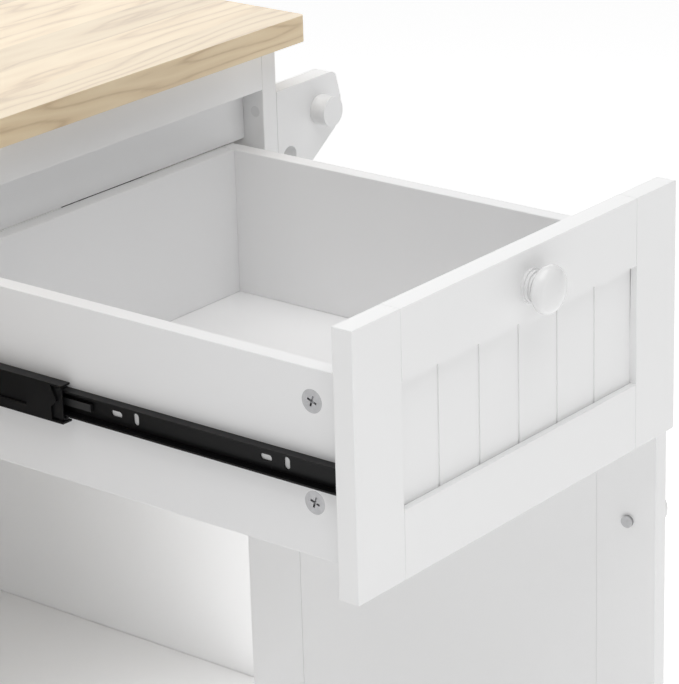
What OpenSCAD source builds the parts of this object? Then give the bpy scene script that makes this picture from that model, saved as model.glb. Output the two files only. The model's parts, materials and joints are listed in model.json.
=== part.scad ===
// Kitchen island cart: an open bay beside a cupboard bay with a drawer, on four casters.
// Millimetres, +Z up, the front faces -Y. The origin is on the floor, under the middle of the cart's box.
// The drawer is drawn pulled out and the door open; behaviour's joints close them.

/* [Cabinet] */
// Outer width across the two side panels
cab_w = 613; // [560:1:760]
// Depth of the side panels, front to back
cab_d = 385; // [325:1:470]
// Height of the worktop above the floor
cart_h = 900; // [820:1:1100]
// Thickness of the side, divider, bottom and shelf boards
panel_t = 15; // [12:0.5:18]
// Clear width of the cupboard bay
bay_w = 338; // [300:1:410]
// Thickness of the back panel
back_t = 5; // [3:0.5:8]
// Depth of the rebate that the back panel's ends sit in
rebate = 7.5; // [5:0.5:9]
// Height of the rails under the worktop
rail_h = 32; // [24:1:50]
// Height of the cupboard shelf's top face above the bottom panel
shelf_z = 280; // [200:1:420]
// Height of the open bay's lower shelf above the bottom panel
lower_shelf_z = 265; // [150:1:300]
// Height of the open bay's upper shelf above the bottom panel
upper_shelf_z = 520; // [380:1:600]

/* [Worktop] */
// Thickness of the worktop
top_t = 19; // [15:1:32]
// Overhang past the cabinet's sides and back
top_over = 13; // [8:1:30]
// Overhang past the cabinet's front
top_front_over = 18; // [8:1:30]
// Radius of the worktop's upright corners
top_corner_r = 4; // [2:0.5:8]

/* [Frame and panel fronts] */
// Thickness of the drawer front and the door
front_t = 15; // [13:0.5:20]
// Width of the stiles and rails
stile_w = 45; // [36:1:54]
// How far the panel's face lies behind the frame's face
panel_recess = 5; // [3:0.5:6]
// How far the panel's back lies inside the frame's back
panel_inset = 0.3; // [0.2:0.1:2]
// Thickness and length of the panel's tongue in the frame's groove
board_t = 6; // [4:0.5:7]
tongue = 8; // [5:0.5:10]
// Number of boards that the panel's grooves show
board_count = 6; // [3:1:9]
// Width and depth of the grooves between boards
board_groove = 2; // [1:0.5:3]

/* [Drawer] */
// Height of the drawer front
drawer_front_h = 171; // [145:1:205]
// Gap beside the drawer front, and at the door's free edge
side_gap = 1.5; // [1:0.1:3]
// Gap above the drawer front, and between it and the door
reveal = 4.5; // [4:0.1:7]
// Height of the drawer box
box_h = 120; // [100:1:145]
// How far the drawer front stands above the box
front_above = 34.2; // [15:0.1:45]
// Thickness of the box boards
box_t = 12; // [10:0.5:15]
// Thickness of the drawer's bottom board
box_bottom_t = 4; // [3:0.5:6]
// Height of the bottom board above the box's lower edge
box_bottom_z = 10; // [8:1:20]

/* [Cam locks] */
// Diameter of a cam lock
cam_d = 15; // [12:0.5:15]
// Thickness of a cam lock in the board's outer face
cam_t = 10; // [9.5:0.5:10.5]
// Distance of the cam locks behind the drawer front
cam_back = 25; // [20:0.5:34]
// Distance of the upper cam lock below the box's top edge
cam_drop = 20.8; // [15:0.1:30]
// Spacing of the two cam locks on a side
cam_pitch = 64; // [50:1:80]

/* [Slides] */
// Overall thickness of a slide, between the box and the cabinet
slide_t = 12.7; // [12.7:0.1:14]
// Sheet thickness of the slide members
sheet_t = 1.2; // [1:0.1:1.4]
// Height of the outer member
outer_h = 35; // [33:0.1:46]
// Height of the middle member
middle_h = 25.6; // [24:0.1:28]
// Height of the inner member
inner_h = 17.1; // [15.5:0.1:19]
// Distance of the slides' centre line below the box's top edge
slide_drop = 64.1; // [50:0.1:80]
// Standard step in slide lengths
slide_step = 50; // [50:50:100]
// How far short of full travel the drawer stands
slide_left = 4; // [0:1:20]
// Share of the drawer's travel that the middle member makes
middle_share = 0.39; // [0.3:0.01:0.5]

/* [Door] */
// Gap at the hinge edge
hinge_gap = 2.5; // [2:0.1:4]
// Distance of the hinge axis behind the door's face
pivot_back = 6; // [5:0.5:8]
// Distance of the hinge axis in from the door's hinge edge
pivot_in = 8; // [6:0.5:12]
// Angle that the door stands open
door_open = 97; // [80:1:110]
// Diameter of the hinge pins
pin_d = 5; // [4:0.5:6]
// Length of a hinge pin beyond its plate
pin_l = 12; // [8:1:20]

/* [Knobs] */
// Diameter of a knob's head
knob_d = 31; // [24:0.5:36]
// How far a knob stands out from its front
knob_l = 21.5; // [20:0.5:34]
// Distance of the drawer's knob below the drawer front's top edge
drawer_knob_drop = 23.8; // [20:0.1:30]
// How far the drawer's knob stands to the right of the front's middle
drawer_knob_off = 6.4; // [-10:0.1:10]
// Distance of the door's knob below the door's top edge
door_knob_drop = 82; // [50:1:120]
// Distance of the door's knob in from the door's free edge
door_knob_in = 21; // [16:0.5:24]

/* [Towel holder] */
// Distance of the holder's top edge below the worktop
towel_drop = 37; // [25:1:60]
// How far the rail's centre line stands out from the side panel
rail_out = 47.9; // [40:0.1:60]
// Radius of the bracket's round nose
nose_r = 24.5; // [20:0.5:26]
// Radius of the bracket's upper outer corner
bracket_corner_r = 7; // [4:0.5:14]
// Angle that the bracket's outer edge leans in above its nose
bracket_lean = 15.5; // [5:0.5:25]
// Height of a bracket along the side panel
bracket_h = 88; // [75:1:110]
// Diameter of the towel rail
towel_rail_d = 22; // [16:0.5:26]
// How far the rail's ends stand proud of the brackets
towel_proud = 12.5; // [0:0.5:20]
// Diameter of the hanging hole in each bracket
hang_hole_d = 15; // [8:0.5:18]

/* [Casters] */
// Overall height of a caster
caster_h = 85; // [78:1:100]
// Diameter of a wheel
wheel_d = 60; // [50:1:64]
// Width of a wheel
wheel_w = 22; // [18:1:28]
// How far a wheel trails behind its swivel axis
trail = 22; // [16:1:26]
// Side of a caster's square mounting plate
caster_plate = 50; // [44:1:60]
// Distance of the swivel axes in from the cabinet's sides
caster_in = 42; // [40:1:70]

/* [Hidden] */
$fn = 64;
// Clearances: loose boards, pins that turn, parts that pass each other
loose = 0.5;
running = 0.05;
passing = 0.4;
eps = 0.02;

bottom_z = caster_h;
floor_z = bottom_z + panel_t;
top_z = cart_h - top_t;
rail_z = top_z - rail_h;
inner_d = cab_d - back_t;
bay_x1 = cab_w - panel_t;
bay_x0 = bay_x1 - bay_w;
divider_x = bay_x0 - panel_t;
open_bay_w = divider_x - panel_t;
open_shelf_zs = [lower_shelf_z, upper_shelf_z];

// Drawer
front_w = bay_w - 2 * side_gap;
front_x = bay_x0 + side_gap;
front_z = rail_z - reveal - drawer_front_h;
box_x0 = bay_x0 + slide_t;
box_w = bay_w - 2 * slide_t;
box_z = rail_z - reveal - front_above - box_h;
slide_z = box_z + box_h - slide_drop;
slide_set = front_t + 2;
slide_l = floor((inner_d - slide_set) / slide_step) * slide_step;
box_l = slide_l;
drawer_out = slide_l - slide_left;
middle_l = slide_l - 20;
middle_y = slide_set + 4 - middle_share * drawer_out;
inner_y = front_t - drawer_out;

// Slide cross-section: distances out from the drawer box's face
inner_u1 = 6.8;
middle_u0 = 1.9;
middle_u1 = 9.9;
outer_u0 = 3.2;
ball_clear = 0.3;
inner_ball_d = (middle_h - inner_h) / 2 - sheet_t - 2 * ball_clear;
inner_ball_z = (middle_h + inner_h) / 4 - sheet_t / 2;
outer_ball_d = (outer_h - middle_h) / 2 - sheet_t - 2 * ball_clear;
outer_ball_z = (outer_h + middle_h) / 4 - sheet_t / 2;
cage_t = 0.8;
ball_rows = 6;
ball_step = 14;
// Fixing stations along a slide, from its front end: round hole, upright slot, long slot
slide_stations = [36, 155, slide_l - 40];
lever_l = 44;
lever_y = middle_y + 26;

// Door
door_w = bay_w - hinge_gap - side_gap;
door_x = bay_x0 + side_gap;
door_z = floor_z + 4;
door_h = front_z - reveal - door_z;
pivot_x = bay_x1 - hinge_gap - pivot_in;
bush_d = pin_d + 3;
bush_flange_t = 1.6;
hinge_plate_t = 2;
hinge_leg_y = 19;
catch_z = shelf_z + floor_z - panel_t - 60;
strike_t = 1.5;

// Towel holder
bracket_reach = rail_out + nose_r;
bracket_top = top_z - towel_drop;
edge_reach = rail_out * cos(bracket_lean) + nose_r * (1 - sin(bracket_lean));
corner_x = (edge_reach - bracket_corner_r * (1 - sin(bracket_lean))) / cos(bracket_lean);
towel_hole_in = 12.6;
towel_hole_drop = 51;

// Casters
caster_plate_t = 2.5;
crown_z = caster_h - 15;
crown_t = 4;
axle_r = 3;
fork_t = 2.5;
fork_gap = 1;
swivel_r = 4;

// Frame: the middle of the box that the whole cart fills, pulled out and open
door_tip_y = pivot_back - (door_w - pivot_in) * sin(door_open) + (front_t - pivot_back) * cos(door_open);
box_front_y = min(-drawer_out - knob_l, door_tip_y);
org_x = -(cab_w + bracket_reach - top_over) / 2;
org_y = -(box_front_y + cab_d + top_over) / 2;

white = [0.9, 0.9, 0.9];
pale = [0.85, 0.85, 0.86];
wood = [0.87, 0.76, 0.58];
zinc = [0.72, 0.73, 0.74];
satin_black = [0.08, 0.08, 0.085];
grey = [0.45, 0.46, 0.48];

// Places: the cart's frame, the drawer as pulled out, the door as opened
module in_cart() translate([org_x, org_y, 0]) children();
module in_drawer() in_cart() translate([0, -drawer_out, 0]) children();
module in_door()
    in_cart() translate([pivot_x, pivot_back, 0]) rotate([0, 0, door_open])
        translate([-pivot_x, -pivot_back, 0]) children();

// Draws the left slide's children, or their mirror image for the right slide
module slide_side(right)
    if (right)
        translate([2 * bay_x0 + bay_w, 0, 0]) mirror([1, 0, 0]) children();
    else
        children();

// Round bars along an axis, from their low end
module bar_x(d, l) rotate([0, 90, 0]) cylinder(d = d, h = l);
module bar_y(d, l) rotate([-90, 0, 0]) cylinder(d = d, h = l);

// A countersunk screw along +Z from its head's face: head, then shank
module screw(head_d, shank_d, l) {
    head_h = (head_d - shank_d) / 2;
    cylinder(d1 = head_d, d2 = shank_d, h = head_h);
    cylinder(d = shank_d, h = l);
}

// ---- Cabinet

module worktop()
    color(wood) in_cart() translate([-top_over, -top_front_over, top_z]) linear_extrude(top_t) {
        w = cab_w + 2 * top_over;
        d = cab_d + top_front_over + top_over;
        r = top_corner_r;
        translate([r, 0]) square([w - 2 * r, d]);
        translate([0, r]) square([w, d - 2 * r]);
        for (x = [r, w - r], y = [r, d - r]) translate([x, y]) circle(r);
    }

// An upright board from z up to the worktop
module upright(x, z, depth) translate([x, 0, z]) cube([panel_t, depth, top_z - z]);

// Shelf pins: where each shelf of a bay rests
pin_r = 2.5;
pin_in = panel_t / 2 - 0.5;
pin_reach = 7;
pin_ys = [40, inner_d - 40];
module pin_pair(x0, x1, z)
    for (y = pin_ys) {
        translate([x0 - pin_in, y, z - pin_r]) bar_x(2 * pin_r, pin_in + pin_reach);
        translate([x1 - pin_reach, y, z - pin_r]) bar_x(2 * pin_r, pin_in + pin_reach);
    }
module all_pins() {
    pin_pair(bay_x0, bay_x1, floor_z + shelf_z - panel_t);
    for (z = open_shelf_zs) pin_pair(panel_t, divider_x, floor_z + z - panel_t);
}

// The towel holder's screws go through the side panel from inside
towel_screw_d = 4;
towel_screw_l = 33;
towel_screw_drops = [12, 66];
towel_screw_ys = [panel_t / 2, inner_d - 5];
module towel_screw_set()
    for (y = towel_screw_ys, drop = towel_screw_drops)
        translate([bay_x1, y, bracket_top - drop]) rotate([0, 90, 0]) screw(8, towel_screw_d, towel_screw_l);

module side_panel_left()
    color(white) in_cart() difference() {
        upright(0, bottom_z, cab_d);
        translate([rebate, inner_d, bottom_z - eps]) cube([panel_t, back_t + eps, top_z - bottom_z + 2 * eps]);
        all_pins();
    }

module side_panel_right()
    color(white) in_cart() difference() {
        upright(bay_x1, bottom_z, cab_d);
        translate([bay_x1 - rebate, inner_d, bottom_z - eps])
            cube([panel_t, back_t + eps, top_z - bottom_z + 2 * eps]);
        all_pins();
        towel_screw_set();
        fixing_screws();
    }

module divider_panel()
    color(white) in_cart() difference() {
        upright(divider_x, floor_z, inner_d);
        all_pins();
        fixing_screws();
    }

module bottom_panel()
    color(white) in_cart() difference() {
        translate([panel_t, 0, bottom_z]) cube([cab_w - 2 * panel_t, inner_d, panel_t]);
        caster_screw_set();
    }

module back_panel()
    color(white) in_cart() translate([rebate, inner_d, bottom_z])
        cube([cab_w - 2 * rebate, back_t, top_z - bottom_z]);

// A rail across a bay, its front face at y
module bay_rail(x, w, y) translate([x, y, rail_z]) cube([w, panel_t, rail_h]);
module front_rail_left() color(white) in_cart() bay_rail(panel_t, open_bay_w, 0);
module front_rail_right() color(white) in_cart() bay_rail(bay_x0, bay_w, 0);
module rear_rails()
    color(white) in_cart() {
        bay_rail(panel_t, open_bay_w, inner_d - panel_t);
        bay_rail(bay_x0, bay_w, inner_d - panel_t);
    }

// The flat rail under the drawer box, and the upright rail over it behind the front rail
cross_t = 12;
cross_d = 40;
cross_y = front_t + 3;
over_y = front_t + 3.2;
over_z = box_z + box_h + 0.5;
module cross_rails()
    color(white) in_cart() {
        translate([bay_x0, cross_y, box_z - 2 - cross_t]) cube([bay_w, cross_d, cross_t]);
        translate([bay_x0, over_y, over_z]) cube([bay_w, panel_t, top_z - over_z]);
    }

module shelf_board(x, w, y, z)
    translate([x + loose, y, floor_z + z - panel_t]) cube([w - 2 * loose, inner_d - loose - y, panel_t]);
shelf_set = front_t + 5;
module cupboard_shelf() color(white) in_cart() shelf_board(bay_x0, bay_w, shelf_set, shelf_z);
module open_shelves()
    color(white) in_cart() for (z = open_shelf_zs) shelf_board(panel_t, open_bay_w, 0, z);
module shelf_pins() color(zinc) in_cart() all_pins();

// ---- Towel holder

// Bracket outline: x out from the panel, y up from the bracket's top edge
function tangent_point(p, c, r) =
    let (v = c - p, l = norm(v), a = atan2(v[1], v[0]) - asin(r / l), t = sqrt(l * l - r * r))
    p + t * [cos(a), sin(a)];
function arc(c, r, a0, a1) = [for (i = [0:16]) let (a = a0 + (a1 - a0) * i / 16) c + r * [cos(a), sin(a)]];
module bracket_outline() {
    corner = [corner_x, -bracket_corner_r];
    nose = [rail_out, -nose_r];
    low = tangent_point([0, -bracket_h], nose, nose_r) - nose;
    polygon(concat([[0, 0]], arc(corner, bracket_corner_r, 90, bracket_lean),
                   arc(nose, nose_r, bracket_lean, atan2(low[1], low[0])), [[0, -bracket_h]]));
}
module towel_bracket(y)
    color(pale) in_cart() difference() {
        translate([cab_w, y + panel_t, bracket_top]) rotate([90, 0, 0]) linear_extrude(panel_t)
            bracket_outline();
        translate([cab_w + rail_out, y - eps, bracket_top - nose_r])
            bar_y(towel_rail_d + 2 * running, panel_t + 2 * eps);
        translate([cab_w + towel_hole_in, y - eps, bracket_top - towel_hole_drop])
            bar_y(hang_hole_d, panel_t + 2 * eps);
        towel_screw_set();
    }
module towel_bracket_front() towel_bracket(0);
module towel_bracket_rear() towel_bracket(cab_d - panel_t);
module towel_rail()
    color(pale) in_cart() translate([cab_w + rail_out, -towel_proud, bracket_top - nose_r])
        bar_y(towel_rail_d, cab_d + 2 * towel_proud);
module towel_screws() color(white) in_cart() towel_screw_set();

// ---- Slides, drawn for the left side

// A channel that lies between u0 and u1 out from the box's face, its web at one of them
module channel(h, u0, u1, web_u, l)
    translate([box_x0 - u1, 0, slide_z]) {
        for (z = [-h / 2, h / 2 - sheet_t]) translate([0, 0, z]) cube([u1 - u0, l, sheet_t]);
        translate([u1 - web_u - (web_u == u0 ? sheet_t : 0), 0, -h / 2]) cube([sheet_t, l, h]);
    }

// Two rows of balls in a folded strip, whose web lies at u
module ball_cage(web_u, arm_u, ball_u, ball_z, ball_d, y)
    translate([box_x0, y, slide_z]) {
        l = (ball_rows + 1) * ball_step;
        translate([-web_u - cage_t, 0, -ball_z - cage_t / 2]) cube([cage_t, l, 2 * ball_z + cage_t]);
        for (s = [-1, 1]) translate([0, 0, s * ball_z]) {
            translate([-web_u - cage_t, 0, -cage_t / 2]) cube([web_u + cage_t - arm_u, l, cage_t]);
            for (i = [1:ball_rows]) translate([-ball_u, i * ball_step, 0]) sphere(d = ball_d, $fn = 32);
        }
    }

// Slide screws along X: at each station, from the web's face into the board
slide_screw_d = 3;
module slide_screws_at(u, y0, into, l)
    for (s = slide_stations)
        translate([box_x0 - u, y0 + s, slide_z]) rotate([0, into * 90, 0]) screw(5.6, slide_screw_d, l);
// Upright and long slots beside each screw in a web
module web_slots(u0, y0)
    for (s = slide_stations) translate([box_x0 - u0 - sheet_t - 1, y0 + s, slide_z]) {
        w = sheet_t + 2;
        for (z = [-1.7, 1.7]) translate([0, 8.5, z]) bar_x(4.6, w);
        translate([0, 6.2, -1.7]) cube([w, 4.6, 3.4]);
        for (y = [22, 27]) translate([0, y, 0]) bar_x(4, w);
        translate([0, 22, -2]) cube([w, 5, 4]);
    }

module outer_screw_set() slide_screws_at(slide_t - sheet_t, slide_set, -1, 12);
module slide_outer(right)
    color(satin_black) in_cart() slide_side(right) {
        ball_cage(middle_u1 + passing, 5, 6.4, outer_ball_z, outer_ball_d, slide_set + 6);
        difference() {
            translate([0, slide_set, 0]) channel(outer_h, outer_u0, slide_t, slide_t, slide_l);
            web_slots(slide_t - sheet_t, slide_set);
            outer_screw_set();
        }
    }
module slide_outer_left() slide_outer(false);
module slide_outer_right() slide_outer(true);

// The middle member's web ends behind its flanges in a pointed tab, and has a window
web_set = 9.7;
web_tab = 4.8;
window_y = 31;
module slide_middle(right)
    color(satin_black) in_cart() slide_side(right) {
        translate([0, middle_y, 0]) difference() {
            channel(middle_h, middle_u0, middle_u1, middle_u1, middle_l);
            translate([box_x0 - middle_u1 - 1, 0, slide_z]) rotate([90, 0, 90]) linear_extrude(sheet_t + 1)
                polygon([[-1, -middle_h / 2 + sheet_t], [web_set, -middle_h / 2 + sheet_t], [web_set, -2.6],
                         [web_tab, 1.5], [web_set, middle_h / 2 - sheet_t], [-1, middle_h / 2 - sheet_t]]);
            translate([box_x0 - middle_u1 - 1, window_y, slide_z - 6]) cube([sheet_t + 2, 28, 13.5]);
        }
        ball_cage(middle_u1 - sheet_t - passing - cage_t, 3, 4.4, inner_ball_z, inner_ball_d, middle_y + 1);
    }
module slide_middle_left() slide_middle(false);
module slide_middle_right() slide_middle(true);

module inner_screw_set()
    for (right = [false, true]) slide_side(right) slide_screws_at(sheet_t, inner_y, 1, 10);
module slide_inner(right)
    color(satin_black) in_cart() slide_side(right) difference() {
        translate([0, inner_y, 0]) channel(inner_h, 0, inner_u1, 0, slide_l);
        web_slots(0, inner_y);
        slide_screws_at(sheet_t, inner_y, 1, 10);
        translate([box_x0 - sheet_t - 1, lever_y, slide_z]) bar_x(lever_pin_d + 2 * running, sheet_t + 2);
    }
module slide_inner_left() slide_inner(false);
module slide_inner_right() slide_inner(true);
module slide_inner_screws() color(grey) in_cart() inner_screw_set();

// The release lever lies in the inner channel and turns on its own pin in the web
lever_pin_d = 3;
lever_t = 2;
lever_h = 5;
module release_lever(right)
    color(satin_black) in_cart() slide_side(right) translate([box_x0, lever_y, slide_z]) {
        translate([-sheet_t - passing - lever_t, -lever_l, -lever_h / 2]) cube([lever_t, lever_l, lever_h]);
        translate([-sheet_t - passing - lever_t, 0, 0]) bar_x(lever_h, lever_t);
        translate([-sheet_t - passing - lever_t, 0, 0]) bar_x(lever_pin_d, lever_t + sheet_t);
    }
module release_lever_left() release_lever(false);
module release_lever_right() release_lever(true);

// Small screws of the cabinet's own hardware: slides, hinge plates and catch
hinge_screw_ys = [hinge_leg_y + 8, hinge_leg_y + 22];
hinge_screw_rise = 14;
module fixing_screws() {
    for (right = [false, true]) slide_side(right) outer_screw_set();
    for (y = hinge_screw_ys, z = [floor_z + hinge_screw_rise, door_z + door_h - hinge_screw_rise + 3])
        translate([bay_x1 - hinge_plate_t - 0.2, y, z]) rotate([0, 90, 0]) screw(5.6, slide_screw_d, 12);
    for (z = [5, catch_h - 5]) translate([bay_x0 + 4, front_t + strike_t + 22, catch_z + z])
        rotate([0, -90, 0]) screw(5.6, slide_screw_d, 12);
}
module hardware_screws() color(zinc) in_cart() fixing_screws();

// ---- Drawer

// A frame of two stiles and two rails round a groove for the panel's tongue, its face at y = 0
module frame_groove(w, h)
    translate([stile_w - tongue, panel_recess, stile_w - tongue])
        cube([w - 2 * (stile_w - tongue), board_t, h - 2 * (stile_w - tongue)]);
module frame_stiles(w, h)
    difference() {
        for (x = [0, w - stile_w]) translate([x, 0, 0]) cube([stile_w, front_t, h]);
        frame_groove(w, h);
    }
module frame_rails(w, h)
    difference() {
        for (z = [0, h - stile_w]) translate([stile_w, 0, z]) cube([w - 2 * stile_w, front_t, stile_w]);
        frame_groove(w, h);
    }
module frame_panel(w, h) {
    fit = 0.1;
    board_w = (w - 2 * stile_w) / board_count;
    difference() {
        for (part = [[stile_w - tongue, board_t - fit], [stile_w, front_t - panel_recess - panel_inset]])
            translate([part[0] + fit, panel_recess + fit, part[0] + fit])
                cube([w - 2 * part[0] - 2 * fit, part[1] - fit, h - 2 * part[0] - 2 * fit]);
        for (i = [1:board_count - 1])
            translate([stile_w + i * board_w - board_groove / 2, panel_recess - 1, 0])
                cube([board_groove, 1 + fit + board_groove / 2, h]);
    }
}

// Knob along -Y from the face at y = 0, with a threaded hole for its screw
knob_screw_d = 4;
module knob_shape() {
    foot_r = knob_d * 0.36;
    neck_r = knob_d * 0.2;
    rim_r = knob_d * 0.168;
    rim_x = knob_d / 2 - rim_r;
    dome_r = knob_d * 0.824;
    rim_y = knob_l - dome_r + sqrt(pow(dome_r - rim_r, 2) - rim_x * rim_x);
    rotate([90, 0, 0]) difference() {
        rotate_extrude() {
            square([foot_r, 2]);
            square([foot_r - 1.2, 4]);
            square([foot_r - 2.7, 5.5]);
            square([neck_r, rim_y]);
            polygon([[0, 6.5], [neck_r, 6.5], [rim_x, rim_y - rim_r], [0, rim_y - rim_r]]);
            translate([rim_x, rim_y]) circle(rim_r);
            translate([0, rim_y - rim_r]) square([rim_x, 2 * rim_r]);
            intersection() {
                translate([0, knob_l - dome_r]) circle(dome_r);
                translate([0, rim_y]) square([rim_x * dome_r / (dome_r - rim_r), knob_l]);
            }
        }
        translate([0, 0, -1]) cylinder(d = knob_screw_d, h = 15);
    }
}
// Knob screw along -Y from the back face, ending in the knob
module knob_screw_shape()
    translate([0, front_t, 0]) rotate([90, 0, 0]) {
        translate([0, 0, -2.4]) cylinder(d = 8.5, h = 2.4);
        cylinder(d = knob_screw_d, h = front_t + 12);
    }
module knob_screw_hole() translate([0, -1, 0]) bar_y(knob_screw_d + 2 * running, front_t + 2);

drawer_knob_x = front_x + front_w / 2 + drawer_knob_off;
drawer_knob_z = front_z + drawer_front_h - drawer_knob_drop;
module at_drawer_knob() in_drawer() translate([drawer_knob_x, 0, drawer_knob_z]) children();

module cam_bolt_set(d)
    for (x = [box_x0 + box_t / 2, box_x0 + box_w - box_t / 2], z = cam_zs)
        translate([x, front_t - 9, z]) bar_y(d, cam_back + 9 - 3);
cam_zs = [box_z + box_h - cam_drop, box_z + box_h - cam_drop - cam_pitch];

module drawer_stiles()
    color(white) in_drawer() difference() {
        translate([front_x, 0, front_z]) frame_stiles(front_w, drawer_front_h);
        cam_bolt_set(6);
    }
module drawer_rails()
    color(white) in_drawer() difference() {
        translate([front_x, 0, front_z]) frame_rails(front_w, drawer_front_h);
        translate([drawer_knob_x, 0, drawer_knob_z]) knob_screw_hole();
    }
module drawer_panel()
    color(white) in_drawer() translate([front_x, 0, front_z]) frame_panel(front_w, drawer_front_h);
module drawer_knob() color("white") at_drawer_knob() knob_shape();
module drawer_knob_screw() color(zinc) at_drawer_knob() knob_screw_shape();

// Bottom board in the grooves of the sides and back
bottom_tongue = 5;
module bottom_board(fit)
    translate([box_x0 + box_t - bottom_tongue + fit, front_t, box_z + box_bottom_z + fit])
        cube([box_w - 2 * (box_t - bottom_tongue) - 2 * fit, box_l - box_t + bottom_tongue - fit,
              box_bottom_t - 2 * fit]);
// Screws that hold the back between the sides
back_screw_zs = [box_z + 25, box_z + box_h - 25];
module back_screw_set()
    for (z = back_screw_zs) {
        translate([box_x0, front_t + box_l - box_t / 2, z]) rotate([0, 90, 0]) screw(7, 3.5, 35);
        translate([box_x0 + box_w, front_t + box_l - box_t / 2, z]) rotate([0, -90, 0]) screw(7, 3.5, 35);
    }
module drawer_side(x, out_x)
    color(pale) in_drawer() difference() {
        translate([x, front_t, box_z]) cube([box_t, box_l, box_h]);
        bottom_board(0);
        for (z = cam_zs) translate([out_x, front_t + cam_back, z]) bar_x(cam_d, cam_t);
        cam_bolt_set(6);
        back_screw_set();
        translate([0, drawer_out, 0]) inner_screw_set();
    }
module drawer_side_left() drawer_side(box_x0, box_x0);
module drawer_side_right() drawer_side(box_x0 + box_w - box_t, box_x0 + box_w - cam_t);
module drawer_back()
    color(pale) in_drawer() difference() {
        translate([box_x0 + box_t, front_t + box_l - box_t, box_z]) cube([box_w - 2 * box_t, box_t, box_h]);
        bottom_board(0);
        back_screw_set();
    }
module drawer_bottom() color(pale) in_drawer() bottom_board(0.1);
module drawer_back_screws() color(zinc) in_drawer() back_screw_set();

// Cam locks with a cross recess, lying in the sides' outer faces
module drawer_cams()
    color(zinc) in_drawer() difference() {
        for (x = [box_x0, box_x0 + box_w - cam_t], z = cam_zs)
            translate([x, front_t + cam_back, z]) bar_x(cam_d, cam_t);
        cam_bolt_set(6);
        for (x = [box_x0 - 1, box_x0 + box_w - 1.5], z = cam_zs, a = [0, 90])
            translate([x, front_t + cam_back, z]) rotate([a + 20, 0, 0])
                translate([0, -3.6, -0.7]) cube([2.5, 7.2, 1.4]);
    }
module drawer_cam_bolts() color(zinc) in_drawer() cam_bolt_set(6);

// ---- Door

door_knob_x = door_x + door_knob_in;
door_knob_z = door_z + door_h - door_knob_drop;
module at_door_knob() in_door() translate([door_knob_x, 0, door_knob_z]) children();
// Bushes in the ends of the hinge stile; grow widens them into their own bores
module bush_ends(d, l)
    for (end = [[door_z, 0], [door_z + door_h, 180]])
        translate([pivot_x, pivot_back, end[0]]) rotate([end[1], 0, 0]) cylinder(d = d, h = l);
bush_l = pin_l + 2;

module door_stiles()
    color(white) in_door() difference() {
        translate([door_x, 0, door_z]) frame_stiles(door_w, door_h);
        translate([door_knob_x, 0, door_knob_z]) knob_screw_hole();
        bush_ends(bush_d, bush_l);
    }
module door_rails()
    color(white) in_door() translate([door_x, 0, door_z]) frame_rails(door_w, door_h);
module door_panel()
    color(white) in_door() translate([door_x, 0, door_z]) frame_panel(door_w, door_h);
module door_knob() color("white") at_door_knob() knob_shape();
module door_knob_screw() color(zinc) at_door_knob() knob_screw_shape();
module door_bushes()
    color(satin_black) in_door() difference() {
        union() {
            bush_ends(bush_d, bush_l);
            for (z = [door_z - bush_flange_t, door_z + door_h])
                translate([pivot_x, pivot_back, z]) cylinder(d = bush_d + 3, h = bush_flange_t);
        }
        translate([pivot_x, pivot_back, door_z - bush_flange_t - 1])
            cylinder(d = pin_d + 2 * running, h = bush_l + bush_flange_t + 2);
        translate([pivot_x, pivot_back, door_z + door_h - bush_l - 1])
            cylinder(d = pin_d + 2 * running, h = bush_l + bush_flange_t + 2);
    }
module door_strike()
    color(zinc) in_door() translate([door_x + 2, front_t, catch_z]) cube([18, strike_t, catch_h]);

// Hinge plates: a strap past the door's end with a pin, and a leg on the side panel
hinge_leg_l = 30;
hinge_leg_h = 24;
module hinge_plate(z, leg_z, pin_z)
    difference() {
        union() {
            translate([pivot_x - 9, 1, z]) cube([bay_x1 - pivot_x + 9, hinge_leg_y + hinge_leg_l, hinge_plate_t]);
            translate([bay_x1 - hinge_plate_t, hinge_leg_y, leg_z])
                cube([hinge_plate_t, hinge_leg_l + 1, hinge_leg_h]);
            translate([pivot_x, pivot_back, pin_z]) cylinder(d = pin_d, h = pin_l + hinge_plate_t);
        }
        fixing_screws();
    }
module hinge_plates()
    color(zinc) in_cart() {
        top = door_z + door_h + bush_flange_t + passing;
        hinge_plate(floor_z, floor_z, floor_z);
        hinge_plate(top, top + hinge_plate_t - hinge_leg_h, top - pin_l);
    }

// Magnetic catch on the divider, behind the door's free edge
catch_h = 40;
module door_catch()
    color(white) in_cart() difference() {
        translate([bay_x0, front_t + strike_t + passing, catch_z]) cube([13, 34, catch_h]);
        translate([bay_x0 + 4, front_t, catch_z - eps]) translate([0, 16, 0]) cube([10, 20, catch_h + 2 * eps]);
        fixing_screws();
    }

// ---- Casters

function caster_x(i) = i % 2 == 0 ? caster_in : cab_w - caster_in;
function caster_y(i) = i < 2 ? caster_in : cab_d - caster_in;
module at_caster(i) in_cart() translate([caster_x(i), caster_y(i), 0]) children();
plate_hole = caster_plate / 2 - 7;
module caster_screw_set()
    for (i = [0:3], dx = [-1, 1], dy = [-1, 1])
        translate([caster_x(i) + dx * plate_hole, caster_y(i) + dy * plate_hole, bottom_z - caster_plate_t - 0.2])
            screw(7, 3.5, 14);
module caster_screws() color(zinc) in_cart() caster_screw_set();
module caster_plates()
    color(zinc) difference() {
        for (i = [0:3]) at_caster(i) {
            translate([-caster_plate / 2, -caster_plate / 2, caster_h - caster_plate_t])
                cube([caster_plate, caster_plate, caster_plate_t]);
            translate([0, 0, caster_h - 7]) cylinder(r = 15, h = 5);
            translate([0, 0, crown_z - 3.5]) cylinder(r = swivel_r, h = caster_h - crown_z + 1);
            translate([0, 0, crown_z - 4]) cylinder(r = swivel_r + 3, h = 3.5);
        }
        in_cart() caster_screw_set();
    }

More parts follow.
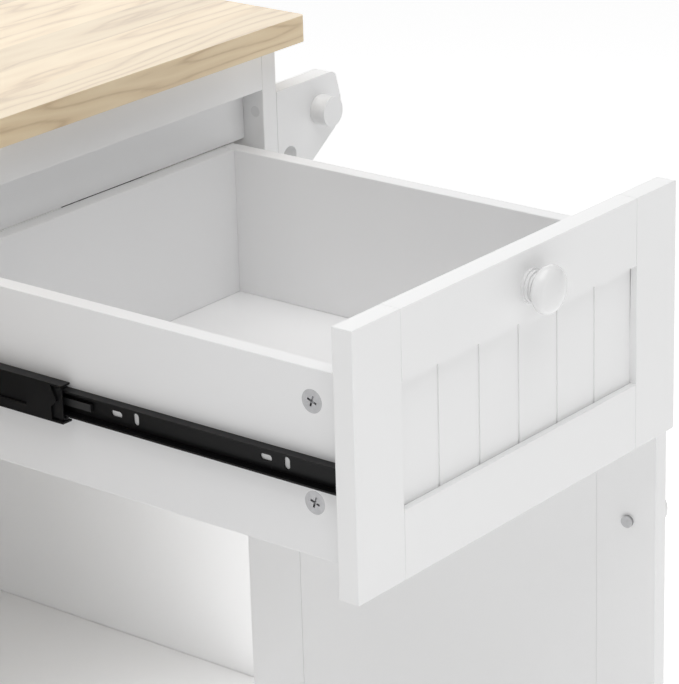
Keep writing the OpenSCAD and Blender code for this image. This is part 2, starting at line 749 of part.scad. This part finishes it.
// The fork trails towards the back: crown, two cheeks, the riveted axle and the pedal's stub pins
cheek_in = wheel_w / 2 + fork_gap;
cheek_back = 8;
pedal_pin_r = 2;
pedal_boss_r = 4;
pedal_y = trail + 4;
pedal_z = wheel_d + pedal_boss_r + 0.5;
module cheek_outline() {
    axle_z = wheel_d / 2;
    crown_top = crown_z + crown_t;
    translate([trail, axle_z]) circle(cheek_back);
    polygon([[-11, crown_top], [trail - 4, crown_top], [pedal_y + pedal_boss_r, pedal_z + 2],
             [trail + cheek_back, axle_z], [trail - cheek_back, axle_z]]);
}
module caster_fork(i)
    color(grey) at_caster(i) {
        difference() {
            union() {
                translate([0, 0, crown_z]) cylinder(r = cheek_in + fork_t + 2, h = crown_t);
                translate([0, 0, crown_z]) cylinder(r = 14, h = crown_t + 3.5);
            }
            translate([0, 0, crown_z - 1]) cylinder(r = swivel_r + running, h = crown_t + 8);
        }
        for (x = [-cheek_in - fork_t, cheek_in])
            translate([x, 0, 0]) rotate([90, 0, 90]) linear_extrude(fork_t) cheek_outline();
        axle_l = 2 * (cheek_in + fork_t + 1.5);
        translate([-axle_l / 2, trail, wheel_d / 2]) bar_x(2 * axle_r, axle_l);
        if (i < 2)
            for (x = [-cheek_in, cheek_in - 3])
                translate([x, pedal_y, pedal_z]) bar_x(2 * pedal_pin_r, 3);
    }
module caster_fork_front_left() caster_fork(0);
module caster_fork_front_right() caster_fork(1);
module caster_fork_rear_left() caster_fork(2);
module caster_fork_rear_right() caster_fork(3);

module caster_wheel(i)
    color(grey) at_caster(i) translate([0, trail, wheel_d / 2]) rotate([0, 90, 0])
        rotate_extrude($fn = 96) {
            r = wheel_d / 2;
            bore = axle_r + running;
            translate([bore, -wheel_w / 2]) square([5, wheel_w]);
            translate([bore, -3]) square([r - bore - 4, 6]);
            translate([r - 9, -wheel_w / 2 + 1.5]) square([9, wheel_w - 3]);
        }
module caster_wheel_front_left() caster_wheel(0);
module caster_wheel_front_right() caster_wheel(1);
module caster_wheel_rear_left() caster_wheel(2);
module caster_wheel_rear_right() caster_wheel(3);

// A brake pedal: a boss on the fork's stub pins, an arm and a foot plate
module brake_pedal(i)
    color(grey) at_caster(i) translate([0, pedal_y, pedal_z]) difference() {
        w = 2 * (cheek_in - loose);
        union() {
            translate([-w / 2, 0, 0]) bar_x(2 * pedal_boss_r, w);
            translate([-w / 2, 0, 0]) cube([w, 24, pedal_boss_r]);
            translate([-w / 2 - 4, 22, 0]) cube([w + 8, 14, pedal_boss_r]);
        }
        for (x = [-w / 2 - 1, w / 2 - 3])
            translate([x, 0, 0]) bar_x(2 * (pedal_pin_r + running), 4);
    }
module brake_pedal_left() brake_pedal(0);
module brake_pedal_right() brake_pedal(1);

worktop();
side_panel_left();
side_panel_right();
divider_panel();
bottom_panel();
back_panel();
front_rail_left();
front_rail_right();
rear_rails();
cross_rails();
cupboard_shelf();
open_shelves();
shelf_pins();
towel_bracket_front();
towel_bracket_rear();
towel_rail();
towel_screws();
slide_outer_left();
slide_outer_right();
hinge_plates();
hardware_screws();
door_catch();
caster_plates();
caster_screws();
slide_middle_left();
slide_middle_right();
drawer_side_left();
drawer_side_right();
drawer_back();
drawer_bottom();
drawer_stiles();
drawer_rails();
drawer_panel();
drawer_knob();
drawer_knob_screw();
drawer_cams();
drawer_cam_bolts();
drawer_back_screws();
slide_inner_left();
slide_inner_right();
slide_inner_screws();
release_lever_left();
release_lever_right();
door_stiles();
door_rails();
door_panel();
door_knob();
door_knob_screw();
door_bushes();
door_strike();
caster_fork_front_left();
caster_fork_front_right();
caster_fork_rear_left();
caster_fork_rear_right();
caster_wheel_front_left();
caster_wheel_front_right();
caster_wheel_rear_left();
caster_wheel_rear_right();
brake_pedal_left();
brake_pedal_right();
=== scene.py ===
import bpy
import json
import math
from mathutils import Matrix, Vector


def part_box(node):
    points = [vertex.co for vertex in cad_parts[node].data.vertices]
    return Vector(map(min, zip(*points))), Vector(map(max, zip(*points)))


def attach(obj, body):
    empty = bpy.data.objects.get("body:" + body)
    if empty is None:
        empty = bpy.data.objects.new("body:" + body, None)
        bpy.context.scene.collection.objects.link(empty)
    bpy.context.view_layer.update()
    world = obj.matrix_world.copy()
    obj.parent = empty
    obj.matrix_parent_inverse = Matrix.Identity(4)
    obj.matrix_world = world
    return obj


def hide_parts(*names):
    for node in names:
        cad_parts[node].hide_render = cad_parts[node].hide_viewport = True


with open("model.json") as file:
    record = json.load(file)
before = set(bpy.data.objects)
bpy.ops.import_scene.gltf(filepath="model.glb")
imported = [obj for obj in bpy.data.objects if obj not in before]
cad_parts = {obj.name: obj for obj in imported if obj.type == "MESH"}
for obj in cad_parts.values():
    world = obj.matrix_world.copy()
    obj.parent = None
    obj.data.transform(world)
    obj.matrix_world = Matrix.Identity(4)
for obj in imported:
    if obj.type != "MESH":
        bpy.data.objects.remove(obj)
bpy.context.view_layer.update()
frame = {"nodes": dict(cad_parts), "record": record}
nodes = frame["nodes"]
bodyOf = {}
for bodyName, members in frame["record"]["behaviour"]["bodies"].items():
    for member in members:
        bodyOf[member] = bodyName
slotOf = {part["node"]: part["material_slot"] for part in frame["record"]["subparts"]}
mm = 0.001
print("frame loaded:", len(nodes), "nodes")


# small helpers

def deselectAll():
    if bpy.context.object and bpy.context.object.mode != "OBJECT":
        bpy.ops.object.mode_set(mode="OBJECT")
    bpy.ops.object.select_all(action="DESELECT")


def makeActive(obj):
    deselectAll()
    obj.select_set(True)
    bpy.context.view_layer.objects.active = obj


def applyModifiers(obj):
    makeActive(obj)
    for modifier in list(obj.modifiers):
        bpy.ops.object.modifier_apply(modifier=modifier.name)


shortEdge = 6 * mm
sharpTurn = math.radians(40)


def weighEdges(obj, weightOf):
    # long sharp edges get a share of the bevel, and the short ones round holes stay as they are
    makeActive(obj)
    bpy.ops.object.mode_set(mode="EDIT")
    bpy.ops.mesh.select_mode(type="EDGE")
    bpy.ops.mesh.select_all(action="DESELECT")
    bpy.ops.mesh.edges_select_sharp(sharpness=sharpTurn)
    bpy.ops.object.mode_set(mode="OBJECT")
    weights = obj.data.attributes.new("bevel_weight_edge", "FLOAT", "EDGE")
    for edge in obj.data.edges:
        a, b = (obj.data.vertices[i].co for i in edge.vertices)
        if edge.select and (a - b).length > shortEdge:
            weights.data[edge.index].value = weightOf(a, b)


def evenWeight(a, b):
    return 1


def addBevel(obj, width, segments=3, weightOf=evenWeight):
    weighEdges(obj, weightOf)
    bevel = obj.modifiers.new("edges", "BEVEL")
    bevel.width = width * mm
    bevel.segments = segments
    bevel.limit_method = "WEIGHT"
    bevel.use_clamp_overlap = False
    bevel.miter_outer = "MITER_ARC"
    applyModifiers(obj)
    flattenFaces(obj)


def flattenFaces(obj):
    # large faces shade flat and the rounded edges between them smooth
    makeActive(obj)
    bpy.ops.object.shade_smooth_by_angle(angle=sharpTurn)
    weighted = obj.modifiers.new("flat", "WEIGHTED_NORMAL")
    weighted.keep_sharp = True
    applyModifiers(obj)


def finishPiece(obj, name, body, material, slot, *replaced):
    obj.name = name
    obj.data.name = name
    obj.data.materials.clear()
    obj.data.materials.append(material)
    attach(obj, body)
    if replaced:
        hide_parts(*replaced)
    return obj


mergeReach = 0.01 * mm
flatTurn = math.radians(0.4)


def copyOfNode(nodeName):
    # a CAD node's loose triangles merged and made flat faces again
    source = nodes[nodeName]
    obj = source.copy()
    obj.data = source.data.copy()
    obj.parent = None
    obj.animation_data_clear()
    for key in list(obj.keys()):
        del obj[key]
    bpy.context.scene.collection.objects.link(obj)
    makeActive(obj)
    bpy.ops.object.mode_set(mode="EDIT")
    bpy.ops.mesh.select_all(action="SELECT")
    bpy.ops.mesh.remove_doubles(threshold=mergeReach)
    bpy.ops.mesh.dissolve_limited(angle_limit=flatTurn)
    bpy.ops.object.mode_set(mode="OBJECT")
    return obj


# camera

# the offset is from the upper left cam lock, in mm
cameraSetup = {"azimuth": 50.87, "elevation": -20.66, "roll": -1.65, "lens": 165.6,
               "offset": (-1301.3, -1080.6, 673.9), "camRadius": 7.5, "sensor": 36, "reach": 50}


def addCamera():
    low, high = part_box("drawer_side_left")
    camLow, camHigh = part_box("drawer_cams")
    camLock = Vector((low.x, (camLow.y + camHigh.y) / 2, camHigh.z - cameraSetup["camRadius"] * mm))
    camera = bpy.data.objects.new("camera", bpy.data.cameras.new("camera"))
    bpy.context.scene.collection.objects.link(camera)
    turn = (Matrix.Rotation(-math.radians(cameraSetup["azimuth"]), 4, "Z")
            @ Matrix.Rotation(math.radians(90 + cameraSetup["elevation"]), 4, "X")
            @ Matrix.Rotation(math.radians(cameraSetup["roll"]), 4, "Z"))
    camera.matrix_world = Matrix.Translation(camLock + Vector(cameraSetup["offset"]) * mm) @ turn
    camera.data.lens = cameraSetup["lens"]
    camera.data.sensor_width = cameraSetup["sensor"]
    camera.data.clip_end = cameraSetup["reach"]
    bpy.context.scene.camera = camera


addCamera()
print("camera placed")


# lights and floor

# places and sizes in metres, powers in watts
lightSetup = {"world": 0.37, "aim": (0, 0, 0.7), "sheenAim": (0, 0, 0.9), "bayPower": 0.56,
              "paneSet": 18 * mm,
              "top": {"place": (-0.4, -0.5, 3.2), "size": 3.0, "power": 48},
              "front": {"place": (0.3, -3.2, 1.5), "size": 2.6, "power": 5},
              "sheen": {"place": (2.2, 1.8, 1.95), "size": 2.6, "power": 19}}
floorLook = {"size": 30, "color": (0.94, 0.94, 0.94, 1), "roughness": 0.8, "glow": 0.56}


def addAreaLight(name, place, aim, size, power):
    data = bpy.data.lights.new(name, "AREA")
    data.shape = "DISK"
    data.size = size
    data.energy = power
    light = bpy.data.objects.new(name, data)
    light.location = place
    light.rotation_euler = (Vector(aim) - Vector(place)).to_track_quat("-Z", "Y").to_euler()
    light.visible_camera = False
    bpy.context.scene.collection.objects.link(light)
    return light


def addStudio():
    world = bpy.data.worlds.new("studio")
    world.use_nodes = True
    world.node_tree.nodes["Background"].inputs["Color"].default_value = (1, 1, 1, 1)
    world.node_tree.nodes["Background"].inputs["Strength"].default_value = lightSetup["world"]
    bpy.context.scene.world = world
    addAreaLight("topLight", aim=lightSetup["aim"], **lightSetup["top"])
    addAreaLight("frontLight", aim=lightSetup["aim"], **lightSetup["front"])
    # a softbox behind the cart that only shows as a sheen on the lacquered top
    sheen = addAreaLight("sheenLight", aim=lightSetup["sheenAim"], **lightSetup["sheen"])
    sheen.visible_diffuse = False
    # a lit pane across the cupboard's mouth, behind the open door's hinge edge, shining inwards
    low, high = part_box("bottom_panel")
    left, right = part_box("divider_panel")[1].x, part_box("side_panel_right")[0].x
    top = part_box("cross_rails")[0].z
    mouth = Vector(((left + right) / 2, low.y + lightSetup["paneSet"], (high.z + top) / 2))
    inwards = mouth + Vector((0, 1, 0))
    pane = addAreaLight("bayLight", mouth, inwards, right - left, lightSetup["bayPower"])
    pane.data.shape = "RECTANGLE"
    pane.data.size_y = top - high.z
    bpy.context.scene.view_settings.view_transform = "Standard"


def addFloor():
    deselectAll()
    bpy.ops.mesh.primitive_plane_add(size=floorLook["size"], location=(0, 0, 0))
    floor = bpy.context.object
    floor.name = "floor"
    material = bpy.data.materials.new("floorPale")
    material.use_nodes = True
    shader = material.node_tree.nodes["Principled BSDF"]
    shader.inputs["Base Color"].default_value = floorLook["color"]
    shader.inputs["Roughness"].default_value = floorLook["roughness"]
    shader.inputs["Emission Color"].default_value = (1, 1, 1, 1)
    shader.inputs["Emission Strength"].default_value = floorLook["glow"]
    floor.data.materials.append(material)


addStudio()
addFloor()
print("studio lit")


# materials

def newMaterial(name, color, roughness, **sockets):
    material = bpy.data.materials.new(name)
    material.use_nodes = True
    shader = material.node_tree.nodes["Principled BSDF"]
    shader.inputs["Base Color"].default_value = (*color, 1)
    shader.inputs["Roughness"].default_value = roughness
    for socket, value in sockets.items():
        shader.inputs[socket.replace("_", " ")].default_value = value
    return material, material.node_tree.nodes, material.node_tree.links, shader


def objectCoords(tree, scale=(1, 1, 1)):
    coords = tree.nodes.new("ShaderNodeTexCoord")
    mapping = tree.nodes.new("ShaderNodeMapping")
    mapping.inputs["Scale"].default_value = scale
    tree.links.new(coords.outputs["Object"], mapping.inputs["Vector"])
    return mapping.outputs["Vector"]


def noiseFrom(tree, vector, scale, detail=4, rough=0.5):
    noise = tree.nodes.new("ShaderNodeTexNoise")
    noise.inputs["Scale"].default_value = scale
    noise.inputs["Detail"].default_value = detail
    noise.inputs["Roughness"].default_value = rough
    tree.links.new(vector, noise.inputs["Vector"])
    return noise


def rampFrom(tree, value, stops):
    ramp = tree.nodes.new("ShaderNodeValToRGB")
    ramp.color_ramp.elements[0].position = stops[0][0]
    ramp.color_ramp.elements[0].color = (*stops[0][1], 1)
    ramp.color_ramp.elements[1].position = stops[-1][0]
    ramp.color_ramp.elements[1].color = (*stops[-1][1], 1)
    for position, color in stops[1:-1]:
        element = ramp.color_ramp.elements.new(position)
        element.color = (*color, 1)
    tree.links.new(value, ramp.inputs["Fac"])
    return ramp


def bumpInto(tree, height, shader, strength, distance):
    bump = tree.nodes.new("ShaderNodeBump")
    bump.inputs["Strength"].default_value = strength
    bump.inputs["Distance"].default_value = distance
    tree.links.new(height, bump.inputs["Height"])
    tree.links.new(bump.outputs["Normal"], shader.inputs["Normal"])
    return bump


paintLook = {"color": (0.87, 0.87, 0.87), "shade": 0.012, "roughness": 0.36, "peel": 420,
             "peelDepth": 0.00002}


def paintedWhite(name, look):
    # sprayed paint: faint unevenness in tone and gloss, and a fine orange peel
    material, nodeList, links, shader = newMaterial(name, look["color"], look["roughness"])
    tree = material.node_tree
    vector = objectCoords(tree)
    cloudy = noiseFrom(tree, vector, 6, 3)
    r, g, b = look["color"]
    dip = 1 - 2 * look["shade"]
    tone = rampFrom(tree, cloudy.outputs["Fac"], [(0.3, (r * dip, g * dip, b * dip)), (0.7, (r, g, b))])
    links.new(tone.outputs["Color"], shader.inputs["Base Color"])
    gloss = nodeList.new("ShaderNodeMapRange")
    gloss.inputs["To Min"].default_value = look["roughness"] - 0.04
    gloss.inputs["To Max"].default_value = look["roughness"] + 0.05
    links.new(cloudy.outputs["Fac"], gloss.inputs["Value"])
    links.new(gloss.outputs["Result"], shader.inputs["Roughness"])
    peel = noiseFrom(tree, vector, look["peel"], 2)
    bumpInto(tree, peel.outputs["Fac"], shader, 0.25, look["peelDepth"])
    return material


foilLook = {"color": (0.85, 0.85, 0.853), "shade": 0.01, "roughness": 0.42, "peel": 900, "peelDepth": 0.00001}
woodLook = {"stave": 42 * mm, "laneShift": 3.0, "stretch": (1.4, 9, 14), "figure": 1.6, "rings": 9,
            "pores": 26, "poreShare": 0.35, "laneTone": (0.9, 1.1), "roughness": 0.34,
            "light": (0.83, 0.67, 0.44), "mid": (0.77, 0.60, 0.38),
            "dark": (0.58, 0.42, 0.25)}


def lacqueredWood():
    # edge-glued staves: each has its own tone and a shifted grain
    material, nodeList, links, shader = newMaterial("lacqueredWood", woodLook["light"],
                                                      woodLook["roughness"])
    tree = material.node_tree
    coords = nodeList.new("ShaderNodeTexCoord")
    split = nodeList.new("ShaderNodeSeparateXYZ")
    links.new(coords.outputs["Object"], split.inputs["Vector"])
    lane = nodeList.new("ShaderNodeMath")
    lane.operation = "DIVIDE"
    lane.inputs[1].default_value = woodLook["stave"]
    links.new(split.outputs["Y"], lane.inputs[0])
    laneNumber = nodeList.new("ShaderNodeMath")
    laneNumber.operation = "FLOOR"
    links.new(lane.outputs["Value"], laneNumber.inputs[0])
    laneRandom = nodeList.new("ShaderNodeTexWhiteNoise")
    laneRandom.noise_dimensions = "1D"
    links.new(laneNumber.outputs["Value"], laneRandom.inputs["W"])
    shift = nodeList.new("ShaderNodeVectorMath")
    shift.operation = "SCALE"
    shift.inputs["Scale"].default_value = woodLook["laneShift"]
    links.new(laneRandom.outputs["Color"], shift.inputs[0])
    moved = nodeList.new("ShaderNodeVectorMath")
    moved.operation = "ADD"
    links.new(coords.outputs["Object"], moved.inputs[0])
    links.new(shift.outputs["Vector"], moved.inputs[1])
    stretch = nodeList.new("ShaderNodeMapping")
    stretch.inputs["Scale"].default_value = woodLook["stretch"]
    links.new(moved.outputs["Vector"], stretch.inputs["Vector"])
    figure = noiseFrom(tree, stretch.outputs["Vector"], woodLook["figure"], 3)
    rings = nodeList.new("ShaderNodeMath")
    rings.operation = "MULTIPLY"
    rings.inputs[1].default_value = woodLook["rings"]
    links.new(figure.outputs["Fac"], rings.inputs[0])
    ringSaw = nodeList.new("ShaderNodeMath")
    ringSaw.operation = "PINGPONG"
    ringSaw.inputs[1].default_value = 0.5
    links.new(rings.outputs["Value"], ringSaw.inputs[0])
    pores = noiseFrom(tree, stretch.outputs["Vector"], woodLook["pores"], 5, 0.65)
    grain = nodeList.new("ShaderNodeMath")
    grain.operation = "MULTIPLY_ADD"
    grain.inputs[1].default_value = woodLook["poreShare"]
    links.new(pores.outputs["Fac"], grain.inputs[0])
    links.new(ringSaw.outputs["Value"], grain.inputs[2])
    tone = rampFrom(tree, grain.outputs["Value"],
                    [(0.12, woodLook["dark"]), (0.32, woodLook["mid"]), (0.62, woodLook["light"])])
    laneTone = nodeList.new("ShaderNodeHueSaturation")
    lightness = nodeList.new("ShaderNodeMapRange")
    lightness.inputs["To Min"].default_value = woodLook["laneTone"][0]
    lightness.inputs["To Max"].default_value = woodLook["laneTone"][1]
    links.new(laneRandom.outputs["Value"], lightness.inputs["Value"])
    links.new(lightness.outputs["Result"], laneTone.inputs["Value"])
    links.new(tone.outputs["Color"], laneTone.inputs["Color"])
    links.new(laneTone.outputs["Color"], shader.inputs["Base Color"])
    bumpInto(tree, pores.outputs["Fac"], shader, 0.12, 0.0001)
    shader.inputs["Coat Weight"].default_value = 0.35
    shader.inputs["Coat Roughness"].default_value = 0.22
    return material


def platedMetal(name, color, roughness, streaks):
    # plated metal with fine streaks in gloss and tone
    material, nodeList, links, shader = newMaterial(name, color, roughness, Metallic=1.0)
    tree = material.node_tree
    lines = noiseFrom(tree, objectCoords(tree, streaks), 240, 3)
    gloss = nodeList.new("ShaderNodeMapRange")
    gloss.inputs["To Min"].default_value = roughness - 0.08
    gloss.inputs["To Max"].default_value = roughness + 0.14
    links.new(lines.outputs["Fac"], gloss.inputs["Value"])
    links.new(gloss.outputs["Result"], shader.inputs["Roughness"])
    r, g, b = color
    tone = rampFrom(tree, lines.outputs["Fac"], [(0.3, (r * 0.8, g * 0.8, b * 0.8)), (0.7, (r, g, b))])
    links.new(tone.outputs["Color"], shader.inputs["Base Color"])
    bumpInto(tree, lines.outputs["Fac"], shader, 0.15, 0.00003)
    return material


def coated(name, color, roughness, grainScale, depth):
    # powder coat, moulded plastic or rubber: one colour with a fine texture and a little wear in tone
    material, nodeList, links, shader = newMaterial(name, color, roughness)
    tree = material.node_tree
    vector = objectCoords(tree)
    grain = noiseFrom(tree, vector, grainScale, 3)
    bumpInto(tree, grain.outputs["Fac"], shader, 0.3, depth)
    cloudy = noiseFrom(tree, vector, 14, 4)
    r, g, b = color
    tone = rampFrom(tree, cloudy.outputs["Fac"], [(0.3, (r * 0.82, g * 0.82, b * 0.82)), (0.75, (r, g, b))])
    links.new(tone.outputs["Color"], shader.inputs["Base Color"])
    gloss = nodeList.new("ShaderNodeMapRange")
    gloss.inputs["To Min"].default_value = roughness - 0.05
    gloss.inputs["To Max"].default_value = roughness + 0.08
    links.new(cloudy.outputs["Fac"], gloss.inputs["Value"])
    links.new(gloss.outputs["Result"], shader.inputs["Roughness"])
    return material


paintWhite = paintedWhite("paintWhite", paintLook)
foilWhite = paintedWhite("foilWhite", foilLook)
woodLacquer = lacqueredWood()
knobGloss = paintedWhite("knobGloss", {"color": (0.82, 0.82, 0.82), "shade": 0.01, "roughness": 0.16,
                                       "peel": 300, "peelDepth": 0.00001})
zincPlate = platedMetal("zincPlate", (0.5, 0.5, 0.51), 0.3, (1, 1, 1))
casterSteel = platedMetal("casterSteel", (0.58, 0.58, 0.60), 0.28, (1, 1, 6))
blackSteel = coated("blackSteel", (0.005, 0.005, 0.0055), 0.34, 700, 0.00002)
blackSteel.node_tree.nodes["Principled BSDF"].inputs["Specular IOR Level"].default_value = 0.2
blackNylon = coated("blackNylon", (0.02, 0.02, 0.021), 0.42, 500, 0.00003)
whiteEnamel = coated("whiteEnamel", (0.86, 0.86, 0.86), 0.3, 400, 0.00001)
whitePlastic = coated("whitePlastic", (0.80, 0.80, 0.80), 0.4, 500, 0.00002)
wheelRubber = coated("wheelRubber", (0.12, 0.12, 0.125), 0.62, 300, 0.00006)
materialFor = {"white_paint": paintWhite, "white_board": foilWhite, "gloss_white": knobGloss,
               "light_wood": woodLacquer, "zinc": zincPlate, "black_steel": blackSteel,
               "black_plastic": blackNylon, "white_plastic": whitePlastic, "white_steel": whiteEnamel,
               "caster_steel": casterSteel, "wheel_rubber": wheelRubber}
for nodeName, obj in nodes.items():
    obj.data.materials.clear()
    obj.data.materials.append(materialFor[slotOf[nodeName]])
print("materials made")


# boards: copies of the plain boards with their edges rounded as sanded and painted boards are

boardEdges = {"drawer_stiles": 0.6, "drawer_rails": 0.6, "door_stiles": 0.6, "door_rails": 0.6,
              "side_panel_left": 0.8, "side_panel_right": 0.8, "divider_panel": 0.8, "bottom_panel": 0.8,
              "back_panel": 0.4, "front_rail_left": 0.5, "front_rail_right": 0.5, "rear_rails": 0.5,
              "cross_rails": 0.6, "cupboard_shelf": 0.8, "open_shelves": 0.8, "drawer_side_left": 0.7,
              "drawer_side_right": 0.7, "drawer_back": 0.7, "drawer_bottom": 0.2, "drawer_panel": 0.3,
              "door_panel": 0.3, "towel_bracket_front": 1.2, "towel_bracket_rear": 1.2, "worktop": 2.6}
worktopShares = {"top": 1, "corner": 0.7, "bottom": 0.15}


def worktopWeight(a, b):
    # the top edge is well rounded, the bottom one only broken
    low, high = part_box("worktop")
    if abs(a.z - b.z) > shortEdge:
        return worktopShares["corner"]
    return worktopShares["top" if a.z > (low.z + high.z) / 2 else "bottom"]


def roundBoards():
    for nodeName, radius in boardEdges.items():
        board = copyOfNode(nodeName)
        if nodeName == "worktop":
            addBevel(board, radius, 5, worktopWeight)
        else:
            addBevel(board, radius)
        slot = slotOf[nodeName]
        finishPiece(board, nodeName + "Board", bodyOf[nodeName], materialFor[slot], slot, nodeName)


roundBoards()
print("boards rounded")
